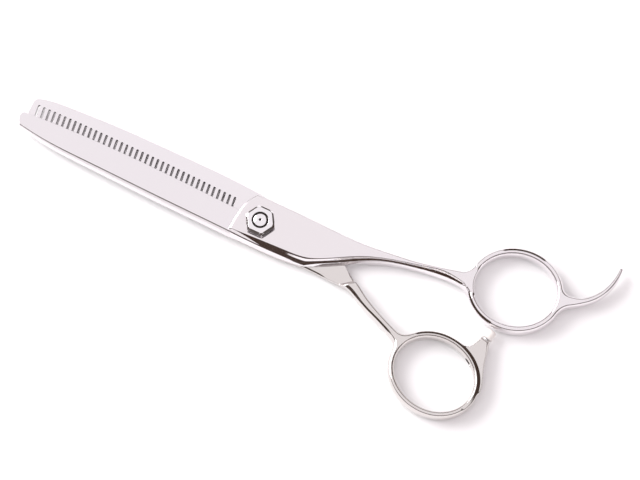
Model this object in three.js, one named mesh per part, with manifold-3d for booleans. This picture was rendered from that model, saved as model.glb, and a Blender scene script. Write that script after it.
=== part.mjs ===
// Thinning shears: a plain blade over a comb blade of forty teeth, two handles that end in rings,
// a curved finger rest on the finger ring, and a pivot with an adjustable hexagonal tension dial.
// Millimetres. The pivot axis is Z, the handles point along +X and the finger ring is on the +Y side.
import * as THREE from "three";
import { mergeVertices } from "three/addons/utils/BufferGeometryUtils.js";
import Module from "manifold-3d";

const wasm = await Module();
wasm.setup();

// Levels of the two halves, measured up from the flat back of the pivot bolt's head.
const BACK_Z = 0.25;
const COMB_TOP_Z = 2.7;
const PLAIN_BASE_Z = 2.9;
const RICASSO_TOP_Z = 5.6;
const HANDLE_HEIGHT = 5;
const HANDLE_Z = HANDLE_HEIGHT / 2;

// Blades.
const TIP_X = -71.9;
const COMB_TIP_X = -70.4;
const HEEL_X = -7;
const EDGE_LAND = 0.3;
const EDGE_THICKNESS = 0.12;
const FACE_SLOPE = Math.tan(THREE.MathUtils.degToRad(16));
const BEVEL_SLOPE = Math.tan(THREE.MathUtils.degToRad(53));
const COMB_BEVEL = 1.3;
const COMB_DEPTH = { tip: 1.1, heel: 1.8, teeth: 0.35 };
const TEETH = 40;
const TOOTH_PITCH = 1.555;
const GAP_WIDTH = 0.64;
const FIRST_GAP_X = -68.5;
const TOOTH_LEAN = THREE.MathUtils.degToRad(7);
const TOOTH_TIP_Y = 0.3;

// Rings.
const FINGER_RING = { x: 69.4, y: 12.4, a: 11, b: 9.6, wall: 2.05, turn: THREE.MathUtils.degToRad(12) };
const THUMB_RING = { x: 59.4, y: -17.7, a: 11.1, b: 9.4, wall: 1.85, turn: THREE.MathUtils.degToRad(-12) };

// Pivot bolt: a flat head with two spanner holes, a keyed shank, and a thread with a tapped end.
const FIT = 0.05;
const HEAD_R = 4.4;
const HEAD_TOP_Z = 0.9;
const SPANNER_HOLE = { x: 2.8, radius: 0.55, depth: 0.5 };
const SHANK_R = 2;
const SHANK_TOP_Z = 5.74;
const KEY_FLAT_Y = 1.55;
const THREAD_R = 1.5;
const THREAD_TOP_Z = 6.95;
const TAPPED = { radius: 0.8, floor: 4.6 };

// What turns or is clamped on the bolt. The pocket in the plain half holds the springs.
const BUSH_R = 2.95;
const POCKET_R = 3.6;
const POCKET_FLOOR_Z = 4.2;
const GLIDE_R = 5;
const GLIDE_RECESS = 0.35;
const THRUST = { radius: 3.5, bottom: 4.25, top: 4.55 };
const SPRING = { inner: 2.15, outer: 3.4, cone: 0.11, thickness: 0.17, lower: 4.58, upper: 4.88 };
const CLICK = { radius: 3.5, bottom: 5.38, top: 5.75, dimples: 12, dimpleR: 0.3, dimpleAt: 3 };
const DIAL = {
  corner: 4.25, bottom: 5.95, top: 7.75, crown: 0.75, foot: 0.25, recess: 2.25, recessDepth: 0.9,
};
const SCREW = {
  radius: 1.8, stem: 0.72, stemEnd: 5, bottom: 7.05, shoulder: 7.7, top: 8.1, socket: 0.39, socketFloor: 7.55,
};
const ROUND = 48;

// Bumper: its axis runs through the horn of the thumb ring and points at the finger ring.
const BUMPER_FOOT = new THREE.Vector3(67.75, -3, HANDLE_Z);
const BUMPER_TURN = THREE.MathUtils.degToRad(-12);
const BUMPER = { radius: 1.6, start: 0.35, end: 3.1, round: 0.4 };
const STUD = { radius: 0.78, length: 5, centre: -2.25 };

const steel = (color, roughness) => new THREE.MeshStandardMaterial({ color, roughness, metalness: 1 });

// A closed geometry as a manifold solid with its faces pointing out.
function solid(geometry) {
  const bare = geometry.index ? geometry.toNonIndexed() : geometry.clone();
  bare.deleteAttribute("normal");
  bare.deleteAttribute("uv");
  const merged = mergeVertices(bare, 1e-4);
  const make = () => new wasm.Manifold(new wasm.Mesh({
    numProp: 3,
    vertProperties: merged.attributes.position.array,
    triVerts: new Uint32Array(merged.index.array),
  }));
  const made = make();
  if (made.volume() > 0) return made;
  const index = merged.index.array;
  for (let i = 0; i < index.length; i += 3) {
    [index[i + 1], index[i + 2]] = [index[i + 2], index[i + 1]];
  }
  return make();
}

const union = (solids) => solids.reduce((all, one) => all.add(one));

function geometryOf(body) {
  const mesh = body.getMesh();
  return new THREE.BufferGeometry()
    .setAttribute("position", new THREE.BufferAttribute(mesh.vertProperties, 3))
    .setIndex(new THREE.BufferAttribute(mesh.triVerts, 1));
}

// A body turned about Z from a profile of [radius, height] points that ends on the axis.
const turned = (profile, round = ROUND) =>
  new THREE.LatheGeometry(profile.map(([r, z]) => new THREE.Vector2(r, z)), round).rotateX(Math.PI / 2);

const disc = (radius, z0, z1, round) => turned([[0, z0], [radius, z0], [radius, z1], [0, z1]], round);

const washer = (inner, outer, z0, z1, round) =>
  turned([[inner, z0], [outer, z0], [outer, z1], [inner, z1], [inner, z0]], round);

const plate = (shape, z0, z1, curveSegments = 12) =>
  new THREE.ExtrudeGeometry(shape, { depth: z1 - z0, bevelEnabled: false, curveSegments })
    .translate(0, 0, z0);

const outline = (points) => new THREE.Shape(points.map(([x, y]) => new THREE.Vector2(x, y)));

const box = (x0, x1, y0, y1, z0, z1) =>
  new THREE.BoxGeometry(x1 - x0, y1 - y0, z1 - z0).translate((x0 + x1) / 2, (y0 + y1) / 2, (z0 + z1) / 2);

// A disc with a flat on its +Y side, for keyed shafts and the bores that take them.
const keyed = (radius, flatY, z0, z1) =>
  solid(disc(radius, z0, z1)).subtract(solid(box(-9, 9, flatY, 9, z0 - 1, z1 + 1)));

// A skin over rings of points, closed by a fan at each end.
function loft(rings) {
  const sides = rings[0].length;
  const points = [];
  const index = [];
  const centre = (ring) => ring.reduce((sum, p) => sum.add(p), new THREE.Vector3()).divideScalar(sides);
  rings.forEach((ring) => points.push(...ring));
  rings.slice(1).forEach((_, i) => {
    for (let k = 0; k < sides; k += 1) {
      const a = i * sides + k;
      const b = i * sides + ((k + 1) % sides);
      index.push(a, b, b + sides, a, b + sides, a + sides);
    }
  });
  const first = points.push(centre(rings[0])) - 1;
  const last = points.push(centre(rings.at(-1))) - 1;
  const base = (rings.length - 1) * sides;
  for (let k = 0; k < sides; k += 1) {
    const next = (k + 1) % sides;
    index.push(first, next, k, last, base + k, base + next);
  }
  const geometry = new THREE.BufferGeometry().setFromPoints(points);
  geometry.setIndex(index);
  return geometry;
}

// A smooth curve through [x, y] points, read as y by x.
function yByX(rows) {
  const curve = new THREE.CatmullRomCurve3(rows.map(([x, y]) => new THREE.Vector3(x, y, 0)));
  return (x) => {
    let low = 0;
    let high = 1;
    for (let i = 0; i < 30; i += 1) {
      const middle = (low + high) / 2;
      if (curve.getPoint(middle).x < x) low = middle;
      else high = middle;
    }
    return curve.getPoint(low).y;
  };
}

const ramp = (from, to, t) => from + (to - from) * t;

const steps = (from, to, count) => Array.from({ length: count + 1 }, (_, i) => ramp(from, to, i / count));

const section = (x, rows) => rows.map(([y, z]) => new THREE.Vector3(x, y, z));

// A bar along stations [x, y, width, height, z], with a rounded section.
function bar(stations, count, sides = 14, squareness = 2.6) {
  const line = new THREE.CatmullRomCurve3(stations.map(([x, y]) => new THREE.Vector3(x, y, 0)));
  const size = new THREE.CatmullRomCurve3(stations.map(([, , w, h, z]) => new THREE.Vector3(w, h, z)));
  return loft(steps(0, 1, count).map((t) => {
    const centre = line.getPoint(t);
    const along = line.getTangent(t);
    const { x: width, y: height, z: level } = size.getPoint(t);
    return Array.from({ length: sides }, (_, k) => {
      const [across, up] = rounded((2 * Math.PI * k) / sides, squareness);
      return new THREE.Vector3(
        centre.x - along.y * across * width / 2,
        centre.y + along.x * across * width / 2,
        level + up * height / 2,
      );
    });
  }));
}

// A point of the unit superellipse.
function rounded(angle, squareness) {
  const c = Math.cos(angle);
  const s = Math.sin(angle);
  const reach = (Math.abs(c) ** squareness + Math.abs(s) ** squareness) ** (-1 / squareness);
  return [c * reach, s * reach];
}

// A ring handle: an elliptical hole inside a rounded wall.
function ringHandle({ x, y, a, b, wall, turn }, around = 56, sides = 14) {
  const torus = new THREE.TorusGeometry(2, 1, sides, around);
  const places = torus.attributes.position;
  const point = new THREE.Vector3();
  for (let i = 0; i < places.count; i += 1) {
    point.fromBufferAttribute(places, i);
    const round = Math.atan2(point.y, point.x);
    const [out, up] = rounded(Math.atan2(point.z, Math.hypot(point.x, point.y) - 2), 2.6);
    const normal = new THREE.Vector2(b * Math.cos(round), a * Math.sin(round)).normalize();
    const reach = (wall / 2) * (1 + out);
    places.setXYZ(
      i,
      a * Math.cos(round) + normal.x * reach,
      b * Math.sin(round) + normal.y * reach,
      HANDLE_Z + up * HANDLE_HEIGHT / 2,
    );
  }
  return torus.rotateZ(turn).translate(x, y, 0);
}

// Cutting edge and spine of the plain blade, as y by x.
const plainEdge = yByX([[TIP_X, 0.4], [-68, 1.4], [-60, 1.85], [-45, 2.1], [-28, 1.9], [-6, 1.2], [2, 1]]);
const plainSpine = yByX([
  [TIP_X, -1.6], [-70.4, -3.3], [-64.6, -4.5], [-50, -5.6], [-30, -6.3], [-10, -6.7], [7, -6.8], [18, -6],
]);

// The face and the spine bevel keep their angles, so the ridge between them comes down towards the tip.
function plainBlade() {
  const x = [TIP_X, ...steps(-71.4, -66, 4), ...steps(-62, HEEL_X + 2, 9)];
  return solid(loft(x.map((at) => {
    const edge = plainEdge(at);
    const spine = plainSpine(at);
    const bevel = (EDGE_THICKNESS - EDGE_LAND + (edge - spine) * FACE_SLOPE) / (BEVEL_SLOPE + FACE_SLOPE);
    return section(at, [
      [edge, PLAIN_BASE_Z],
      [edge, PLAIN_BASE_Z + EDGE_THICKNESS],
      [spine + bevel, PLAIN_BASE_Z + EDGE_LAND + bevel * BEVEL_SLOPE],
      [spine, PLAIN_BASE_Z + EDGE_LAND],
      [spine, PLAIN_BASE_Z],
    ]);
  })));
}

// The ricasso of the plain half: a flat top, a sloping shoulder and the end of the spine bevel.
const ricassoUpper = yByX([[-9, 6.5], [10, 6.5], [20, 6.2], [28, 6.3], [32, 6.9], [36, 7.4]]);
const ricassoLower = yByX([
  [-9, -6.7], [0, -6.8], [7, -6.8], [12.5, -6.6], [16.3, -6], [19.4, -3.6], [23.4, -1.6], [27.4, 0.7],
  [31.3, 3], [36, 4.9],
]);
const flatLower = yByX([
  [-9, -4.8], [0, -4.4], [10, -4], [15.7, -3.4], [19.7, -1.6], [23.7, 0.4], [27.7, 2.8], [31.7, 4.6],
  [36, 5.9],
]);

function ricasso() {
  const corner = 0.5;
  const shoulderDrop = 0.9;
  const body = solid(loft(steps(-9, 34, 26).map((x) => {
    const upper = ricassoUpper(x);
    const lower = ricassoLower(x);
    const flat = flatLower(x);
    const shoulder = ramp(lower, flat, 0.45);
    return section(x, [
      [upper, PLAIN_BASE_Z],
      [upper, RICASSO_TOP_Z - corner],
      [upper - corner, RICASSO_TOP_Z],
      [flat, RICASSO_TOP_Z],
      [shoulder, RICASSO_TOP_Z - shoulderDrop],
      [lower, PLAIN_BASE_Z + EDGE_LAND],
      [lower, PLAIN_BASE_Z],
    ]);
  })));
  const heel = outline([[40, -9], [-7.1, -9]]);
  const step = [[HEEL_X, -4.7], [-6.6, -0.4], [-6, 3], [-5, 5.4], [-3, 7]];
  heel.splineThru(step.map(([x, y]) => new THREE.Vector2(x, y)));
  heel.lineTo(-2, 9);
  heel.lineTo(40, 9);
  return body.intersect(solid(plate(heel, 2, 7)));
}

function straightHalf() {
  const shank = bar([
    [28, 4.2, 4.6, 2.7, 4.25], [31, 5.1, 3.9, 2.75, 4.2], [35, 6.1, 3.1, 4, 3.4], [39.5, 6.9, 2.7, 5, 2.55],
    [44, 7.8, 2.6, HANDLE_HEIGHT, HANDLE_Z], [48, 8.5, 2.8, HANDLE_HEIGHT, HANDLE_Z],
    [52, 9.3, 3.8, HANDLE_HEIGHT, HANDLE_Z], [56.4, 10.3, 5.6, HANDLE_HEIGHT, HANDLE_Z],
    [58, 10.8, 4.4, 4, HANDLE_Z],
  ], 26);
  const tang = bar([
    [81.7, 13.9, 4.4, 4.4, HANDLE_Z], [83.6, 15.4, 3.6, 4.4, HANDLE_Z], [86.8, 17.2, 2.8, 4.1, HANDLE_Z],
    [89.6, 19.9, 2.4, 3.8, HANDLE_Z], [91.5, 23.2, 2, 3.4, HANDLE_Z], [92.4, 26.8, 1.5, 2.9, HANDLE_Z],
    [92.6, 29.4, 1, 2.2, HANDLE_Z], [92.6, 30.4, 0.5, 1.3, HANDLE_Z],
  ], 22);
  return [ricasso(), solid(shank), solid(ringHandle(FINGER_RING)), solid(tang)]
    .reduce((all, one) => all.add(one), plainBlade())
    .subtract(solid(disc(BUSH_R + FIT, 2, RICASSO_TOP_Z)))
    .subtract(solid(disc(POCKET_R, POCKET_FLOOR_Z, 7)));
}

// Spine and tooth line of the comb blade, as y by x.
const combSpine = yByX([
  [COMB_TIP_X, 5.2], [-69.6, 6.2], [-66.6, 7], [-60, 7.6], [-50, 8.1], [-30, 8.3], [-10, 8], [-4, 7.6],
  [2, 6.9],
]);
const gullets = yByX([[-71, 4.7], [-60, 4.9], [-40, 4.9], [-28, 4.7], [-12, 4.2], [-6, 4]]);

function combBlade() {
  const x = [COMB_TIP_X, ...steps(-70, -66, 3), ...steps(-62, -5, 8)];
  const blank = solid(loft(x.map((at) => {
    const along = (at - COMB_TIP_X) / (HEEL_X - COMB_TIP_X);
    const spine = combSpine(at);
    const ridge = COMB_TOP_Z - ramp(COMB_DEPTH.tip, COMB_DEPTH.heel, along);
    return section(at, [
      [TOOTH_TIP_Y, COMB_TOP_Z],
      [spine, COMB_TOP_Z],
      [spine, COMB_TOP_Z - EDGE_LAND],
      [spine - COMB_BEVEL, ridge],
      [TOOTH_TIP_Y, COMB_TOP_Z - COMB_DEPTH.teeth],
    ]);
  })));
  const slots = steps(0, TEETH - 2, TEETH - 2).map((i) => {
    const slot = new THREE.Shape();
    const half = GAP_WIDTH / 2;
    slot.moveTo(half, -7);
    slot.absarc(0, -half, half, 0, Math.PI, false);
    slot.lineTo(-half, -7);
    const rootX = FIRST_GAP_X + i * TOOTH_PITCH;
    return solid(plate(slot, 0, 4, 5).rotateZ(TOOTH_LEAN).translate(rootX, gullets(rootX), 0));
  });
  return slots.reduce((left, one) => left.subtract(one), blank);
}

// The pad of the comb half: it lies under the ricasso and shows on the thumb side of the handle.
function pad() {
  const shape = outline([[-9, 0.6], [-8.4, -4.4], [-5, -6], [0, -6.3], [8, -6.3], [15.9, -5.8], [20, -6.1]]);
  shape.lineTo(27, -6.7);
  shape.lineTo(30.5, -5);
  shape.lineTo(29, -3.1);
  shape.lineTo(27.2, -2.1);
  shape.quadraticCurveTo(22, 2.6, 17, 4.9);
  shape.quadraticCurveTo(12, 6.6, 2, 6.9);
  shape.lineTo(-5, 7.5);
  shape.lineTo(-9, 7.6);
  const chamfer = 0.6;
  return solid(new THREE.ExtrudeGeometry(shape, {
    depth: COMB_TOP_Z - BACK_Z - chamfer,
    bevelEnabled: true,
    bevelThickness: chamfer,
    bevelSize: chamfer,
    bevelOffset: -chamfer,
    bevelSegments: 1,
    curveSegments: 6,
  }).translate(0, 0, BACK_Z + chamfer))
    .subtract(solid(box(-12, 40, -12, 12, COMB_TOP_Z, 5)));
}

function combHalf() {
  const shank = bar([
    [27.6, -4.7, 3.4, 3.4, 2], [29.4, -5.4, 3.3, 4.6, 2.5], [32, -6.6, 3, HANDLE_HEIGHT, HANDLE_Z],
    [35, -8, 2.7, HANDLE_HEIGHT, HANDLE_Z], [39, -9.8, 2.6, HANDLE_HEIGHT, HANDLE_Z],
    [43, -11.5, 3.4, HANDLE_HEIGHT, HANDLE_Z], [47, -13.2, 5.2, HANDLE_HEIGHT, HANDLE_Z],
    [49, -14.2, 4, 4, HANDLE_Z],
  ], 24);
  const horn = bar([
    [70.1, -12.7, 1.4, 4, HANDLE_Z], [69.1, -9.2, 4.6, 4.8, HANDLE_Z], [68.3, -6, 4.2, 4.6, HANDLE_Z],
    [BUMPER_FOOT.x + 0.1, BUMPER_FOOT.y + 0.8, 3.1, 3.4, HANDLE_Z],
  ], 10);
  // Along the bumper's axis: the stud's tapped hole, and the flat seat on the horn's end.
  const onBumperAxis = (radius, from, to) =>
    solid(new THREE.CylinderGeometry(radius, radius, to - from, 20).translate(0, (from + to) / 2, 0)
      .rotateZ(BUMPER_TURN).translate(BUMPER_FOOT.x, BUMPER_FOOT.y, HANDLE_Z));
  return union([combBlade(), pad(), solid(shank), solid(ringHandle(THUMB_RING)), solid(horn)])
    .subtract(onBumperAxis(STUD.radius + FIT, -12, 3))
    .subtract(onBumperAxis(3, 0, 3))
    .subtract(keyed(SHANK_R + FIT, KEY_FLAT_Y + FIT, -1, 4))
    .subtract(solid(disc(HEAD_R + 2 * FIT, -1, HEAD_TOP_Z + FIT)))
    .subtract(solid(disc(GLIDE_R + 2 * FIT, COMB_TOP_Z - GLIDE_RECESS, 4)));
}

function pivotBolt() {
  const edge = 0.25;
  const head = [[0, 0], [HEAD_R - edge, 0], [HEAD_R, edge], [HEAD_R, HEAD_TOP_Z], [0, HEAD_TOP_Z]];
  const spannerHoles = [-1, 1].map((side) =>
    solid(disc(SPANNER_HOLE.radius, -1, SPANNER_HOLE.depth, 16).translate(side * SPANNER_HOLE.x, 0, 0)));
  return union([
    solid(turned(head)),
    keyed(SHANK_R, KEY_FLAT_Y, HEAD_TOP_Z - 0.1, SHANK_TOP_Z),
    solid(disc(THREAD_R, SHANK_TOP_Z - 0.1, THREAD_TOP_Z)),
  ])
    .subtract(union(spannerHoles))
    .subtract(solid(disc(TAPPED.radius, TAPPED.floor, 8, 24)));
}

// A coned spring washer; up is 1 when its narrow end is on top, -1 when it is underneath.
function discSpring(z, up) {
  const { inner, outer, cone, thickness } = SPRING;
  const outerZ = up > 0 ? z : z + cone;
  const innerZ = up > 0 ? z + cone : z;
  return turned([
    [inner, innerZ], [outer, outerZ], [outer, outerZ + thickness], [inner, innerZ + thickness],
    [inner, innerZ],
  ]);
}

function clickPlate() {
  const dimples = steps(1, CLICK.dimples, CLICK.dimples - 1).map((i) =>
    solid(new THREE.SphereGeometry(CLICK.dimpleR, 10, 6)
      .translate(CLICK.dimpleAt, 0, CLICK.top + CLICK.dimpleR / 2)
      .rotateZ((i / CLICK.dimples) * 2 * Math.PI)));
  return solid(disc(CLICK.radius, CLICK.bottom, CLICK.top))
    .subtract(keyed(SHANK_R + FIT, KEY_FLAT_Y + FIT, 5, 6))
    .subtract(union(dimples));
}

// The dial is a hexagonal prism with corners on the X axis, turned down at its crown and foot.
function hexDial() {
  const { corner, bottom, top, crown, foot, recess, recessDepth } = DIAL;
  const blank = turned([
    [0, bottom], [corner - foot, bottom], [corner, bottom + foot], [corner, top - crown * 0.8],
    [corner - crown, top], [0, top],
  ]);
  return solid(disc(corner, bottom, top, 6).rotateZ(Math.PI / 6))
    .intersect(solid(blank))
    .subtract(solid(disc(THREAD_R + FIT, 5, 9)))
    .subtract(solid(disc(recess, top - recessDepth, 9)));
}

function lockScrew() {
  const { radius, stem, stemEnd, bottom, shoulder, top, socket, socketFloor } = SCREW;
  const dome = steps(0, 1, 6).map((t) => {
    const angle = ((1 - t) * Math.PI) / 2;
    return [radius * Math.sin(angle), shoulder + (top - shoulder) * Math.cos(angle)];
  });
  return solid(turned([[0, bottom], [radius, bottom], ...dome.slice(0, -1), [0, top]], 32))
    .add(solid(disc(stem, stemEnd, bottom + FIT, 24)))
    .subtract(solid(disc(socket, socketFloor, top + FIT, 6)));
}

function bumper() {
  const { radius, start, end, round } = BUMPER;
  return turned([
    [0, start], [radius - round, start], [radius, start + round], [radius, end - 2 * round],
    [radius - round, end - round / 2], [0, end],
  ], 28).rotateX(-Math.PI / 2).rotateZ(BUMPER_TURN);
}

const bumperStud = () =>
  new THREE.CylinderGeometry(STUD.radius, STUD.radius, STUD.length, 20)
    .translate(0, STUD.centre, 0)
    .rotateZ(BUMPER_TURN);

const shears = new THREE.Group();
shears.name = "thinning_shears";

function place(name, body, material, parent = shears) {
  const geometry = body.isBufferGeometry ? geometryOf(solid(body)) : geometryOf(body);
  const mesh = new THREE.Mesh(geometry, material);
  mesh.name = name;
  parent.add(mesh);
  return mesh;
}

place("straight_half", straightHalf(), steel(0xd9d5d7, 0.22));
place("comb_half", combHalf(), steel(0xd6d2d4, 0.24));
place("pivot_bolt", pivotBolt(), steel(0xc4c2c6, 0.3));
place("bearing_bush", washer(SHANK_R + FIT, BUSH_R, PLAIN_BASE_Z + FIT, POCKET_FLOOR_Z),
  steel(0xb89a5a, 0.35));
place("glide_washer", washer(SHANK_R + 2 * FIT, GLIDE_R, COMB_TOP_Z - GLIDE_RECESS + FIT, PLAIN_BASE_Z - FIT),
  new THREE.MeshStandardMaterial({ color: 0xe8e6df, roughness: 0.5, metalness: 0 }));
place("thrust_washer", washer(SHANK_R + 2 * FIT, THRUST.radius, THRUST.bottom, THRUST.top),
  steel(0xc8c6c8, 0.3));
place("disc_spring_lower", discSpring(SPRING.lower, -1), steel(0x9fa0a6, 0.35));
place("disc_spring_upper", discSpring(SPRING.upper, 1), steel(0x9fa0a6, 0.35));
place("click_plate", clickPlate(), steel(0xb9b8bc, 0.3));
place("hex_dial", hexDial(), steel(0xcfccd1, 0.16));
place("lock_screw", lockScrew(), steel(0xd6d3d8, 0.12));

const bumperPlace = new THREE.Group();
bumperPlace.position.copy(BUMPER_FOOT);
shears.add(bumperPlace);
place("bumper", bumper(), new THREE.MeshStandardMaterial({ color: 0xf2f0ea, roughness: 0.45 }), bumperPlace);
place("bumper_stud", bumperStud(), steel(0xbdbbbf, 0.35), bumperPlace);

export default shears;
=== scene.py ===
import math

import bmesh
import bpy
import numpy as np
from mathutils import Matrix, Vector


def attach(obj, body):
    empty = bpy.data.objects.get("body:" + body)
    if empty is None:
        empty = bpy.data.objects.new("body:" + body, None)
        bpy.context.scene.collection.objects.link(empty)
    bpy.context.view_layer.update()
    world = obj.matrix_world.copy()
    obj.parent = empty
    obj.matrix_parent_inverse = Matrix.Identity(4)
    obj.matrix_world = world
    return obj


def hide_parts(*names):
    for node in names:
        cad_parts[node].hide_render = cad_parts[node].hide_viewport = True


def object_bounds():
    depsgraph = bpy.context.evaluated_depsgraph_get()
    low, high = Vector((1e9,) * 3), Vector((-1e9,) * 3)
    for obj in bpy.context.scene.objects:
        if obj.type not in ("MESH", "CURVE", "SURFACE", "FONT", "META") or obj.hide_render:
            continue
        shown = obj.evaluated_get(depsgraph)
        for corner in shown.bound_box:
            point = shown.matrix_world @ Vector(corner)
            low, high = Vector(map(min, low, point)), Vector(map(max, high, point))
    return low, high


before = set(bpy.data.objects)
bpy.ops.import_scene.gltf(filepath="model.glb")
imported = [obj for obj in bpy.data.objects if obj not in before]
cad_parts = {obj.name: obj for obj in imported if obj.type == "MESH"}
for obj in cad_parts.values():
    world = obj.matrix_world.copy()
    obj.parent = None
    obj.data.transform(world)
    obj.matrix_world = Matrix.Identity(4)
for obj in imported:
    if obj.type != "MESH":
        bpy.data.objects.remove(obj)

import openvdb
from mathutils import Vector
from mathutils.geometry import delaunay_2d_cdt

# Thinning shears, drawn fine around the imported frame. Shapes are worked out in millimetres in the
# frame's own axes: the pivot axis is Z, +X runs to the handles, the finger ring is on the +Y side.
CAD_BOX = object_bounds()
MM = 0.001


# ---------------------------------------------------------------------------------------------
# Curves and fields
# ---------------------------------------------------------------------------------------------


class Curve:
    """A natural cubic spline through (x, y) points, straight beyond its ends."""

    def __init__(self, *points):
        self.x, self.y = np.array(points, float).T
        step = np.diff(self.x)
        rise = np.diff(self.y) / step
        count = len(self.x)
        system = np.eye(count)
        right = np.zeros(count)
        for i in range(1, count - 1):
            system[i, i - 1 : i + 2] = step[i - 1], 2 * (step[i - 1] + step[i]), step[i]
            right[i] = 6 * (rise[i] - rise[i - 1])
        self.bend = np.linalg.solve(system, right)

    def __call__(self, at):
        inside = np.clip(at, self.x[0], self.x[-1])
        i = np.clip(np.searchsorted(self.x, inside) - 1, 0, len(self.x) - 2)
        step = self.x[i + 1] - self.x[i]
        b = (inside - self.x[i]) / step
        a = 1 - b
        curved = (a**3 - a) * self.bend[i] + (b**3 - b) * self.bend[i + 1]
        value = a * self.y[i] + b * self.y[i + 1] + curved * step**2 / 6
        slant = (3 * b**2 - 1) * self.bend[i + 1] - (3 * a**2 - 1) * self.bend[i]
        slope = (self.y[i + 1] - self.y[i]) / step + slant * step / 6
        return value + slope * (at - inside)

    def above(self, x, y):
        """The distance of a point above the curve, for a gentle curve."""
        small = 0.05
        slope = (self(x + small) - self(x - small)) / (2 * small)
        return (y - self(x)) / np.sqrt(1 + slope**2)


def either(a, b, blend):
    """The union of two fields, with a fillet."""
    h = np.clip(0.5 + 0.5 * (b - a) / blend, 0, 1)
    return b + (a - b) * h - blend * h * (1 - h)


def both(a, b, blend):
    """The intersection of two fields, with a rounded edge."""
    return -either(-a, -b, blend)


def ease(value, low, high):
    """A smooth rise from 0 at low to 1 at high."""
    t = np.clip((value - low) / (high - low), 0, 1)
    return t * t * (3 - 2 * t)


def mix(a, b, t):
    """From a, where t is 0, to b, where t is 1."""
    return a + (b - a) * t


def outside(z, ends):
    """How far a height is outside two others."""
    return np.maximum(z - ends[1], ends[0] - z)


def grade(degrees):
    """The slope of a face that is tilted by an angle in degrees."""
    return math.tan(math.radians(degrees))


def chamfer(past, above, rise):
    """The field of a face that drops by rise for each millimetre past its line, which is where past and
    above are 0."""
    return (above + rise * past) / math.hypot(1, rise)


def cone(out, above, tilt):
    """The field of a face that tilts down outwards by an angle in degrees, through where both are 0."""
    return out * math.sin(math.radians(tilt)) + above * math.cos(math.radians(tilt))


def ellipse(x, y, place, a, b):
    """The distance to an ellipse. place is its centre and its turn in radians."""
    cx, cy, turn = place
    u = (x - cx) * math.cos(turn) + (y - cy) * math.sin(turn)
    v = (y - cy) * math.cos(turn) - (x - cx) * math.sin(turn)
    near = np.hypot(u / a, v / b)
    return near * (near - 1) / np.maximum(np.hypot(u / a**2, v / b**2), 1e-6)


def slab(plan, z, bottom, top, side, low, high, power=2.3):
    """A body between bottom and top whose plan is a field. side, low and high are how far its rounding
    reaches in from its side, up from its bottom and down from its top."""
    across = np.maximum((plan + side) / side, 0) ** power
    over = (across + np.maximum((z - top + high) / high, 0) ** power) ** (1 / power)
    under = (across + np.maximum((bottom + low - z) / low, 0) ** power) ** (1 / power)
    return (np.maximum(over, under) - 1) * side


# ---------------------------------------------------------------------------------------------
# Meshes
# ---------------------------------------------------------------------------------------------


# The angles in degrees over which a plate's edges are creased, and over which they are rounded.
CREASED = 20
ROUNDED = 24


def piece(name, points, faces, sharp=None):
    """An object from points in millimetres, smooth but for edges over the sharp angle in degrees."""
    mesh = bpy.data.meshes.new(name)
    mesh.from_pydata([tuple(p) for p in np.asarray(points, float) * MM], [], faces)
    mesh.validate()
    mesh.shade_smooth()
    if sharp:
        mesh.set_sharp_from_angle(angle=math.radians(sharp))
    obj = bpy.data.objects.new(name, mesh)
    bpy.context.scene.collection.objects.link(obj)
    return obj


def step_onto(field, points, farthest):
    """The steps from points towards the surface where a field is zero, none over farthest."""
    nudge = 0.02
    gentlest = 0.04
    smallest = 1e-9
    rise = [field(*(points + s).T) - field(*(points - s).T) for s in np.eye(3) * nudge]
    gradient = np.stack(rise, 1) / (2 * nudge)
    steepness = np.maximum((gradient**2).sum(1), gentlest)
    step = -gradient * (field(*points.T) / steepness)[:, None]
    length = np.linalg.norm(step, axis=1, keepdims=True)
    return step * np.minimum(1, farthest / np.maximum(length, smallest))


def skin(name, field, low, high, voxel):
    """The surface where a field of x, y and z is zero, with every vertex moved onto it."""
    low = np.array(low, float)
    axes = [low[i] + voxel * np.arange(int((high[i] - low[i]) / voxel) + 2) for i in range(3)]
    x, y, z = np.meshgrid(*axes, indexing="ij", sparse=True)
    band = 6 * voxel
    values = np.clip(np.broadcast_to(field(x, y, z), [len(a) for a in axes]), -band, band)
    grid = openvdb.FloatGrid(band)
    grid.copyFromArray(np.ascontiguousarray(values, np.float32))
    grid.transform = openvdb.createLinearTransform(voxel)
    points, triangles, quads = grid.convertToPolygons()
    points = points.astype(float) + low
    rounds = 4
    for _ in range(rounds):
        points += step_onto(field, points, 0.4 * voxel)
    faces = [tuple(f) for f in (*triangles.tolist(), *quads.tolist())]
    return piece(name, points, faces)


def plate(name, outline, lines, top, bottom, edge):
    """A body with a plan outline, creased along lines, between two heights that depend on x and y. Its
    edges are rounded by edge."""
    points = list(outline)
    edges = [(i, (i + 1) % len(outline)) for i in range(len(outline))]
    for line in lines:
        start = len(points)
        points += line
        edges += [(i, i + 1) for i in range(start, len(points) - 1)]
    flat, _, tiles, *_ = delaunay_2d_cdt([Vector(p) for p in points], edges, [], 1, 1e-5)
    plan = np.array([tuple(p) for p in flat])
    x, y = plan.T
    count = len(plan)
    solid = np.concatenate([np.stack([x, y, top(x, y)], 1), np.stack([x, y, bottom(x, y)], 1)])
    sides = {(t[i], t[(i + 1) % 3]) for t in tiles for i in range(3)}
    rim = [(a, b) for a, b in sides if (b, a) not in sides]
    faces = [tuple(t) for t in tiles]
    faces += [tuple(i + count for i in reversed(t)) for t in tiles]
    faces += [(b, a, a + count, b + count) for a, b in rim]
    obj = piece(name, solid, faces, sharp=CREASED)
    bevel = obj.modifiers.new("edge", "BEVEL")
    bevel.width = edge * MM
    bevel.segments = 2
    bevel.limit_method = "ANGLE"
    bevel.angle_limit = math.radians(ROUNDED)
    bevel.harden_normals = True
    return obj


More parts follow.
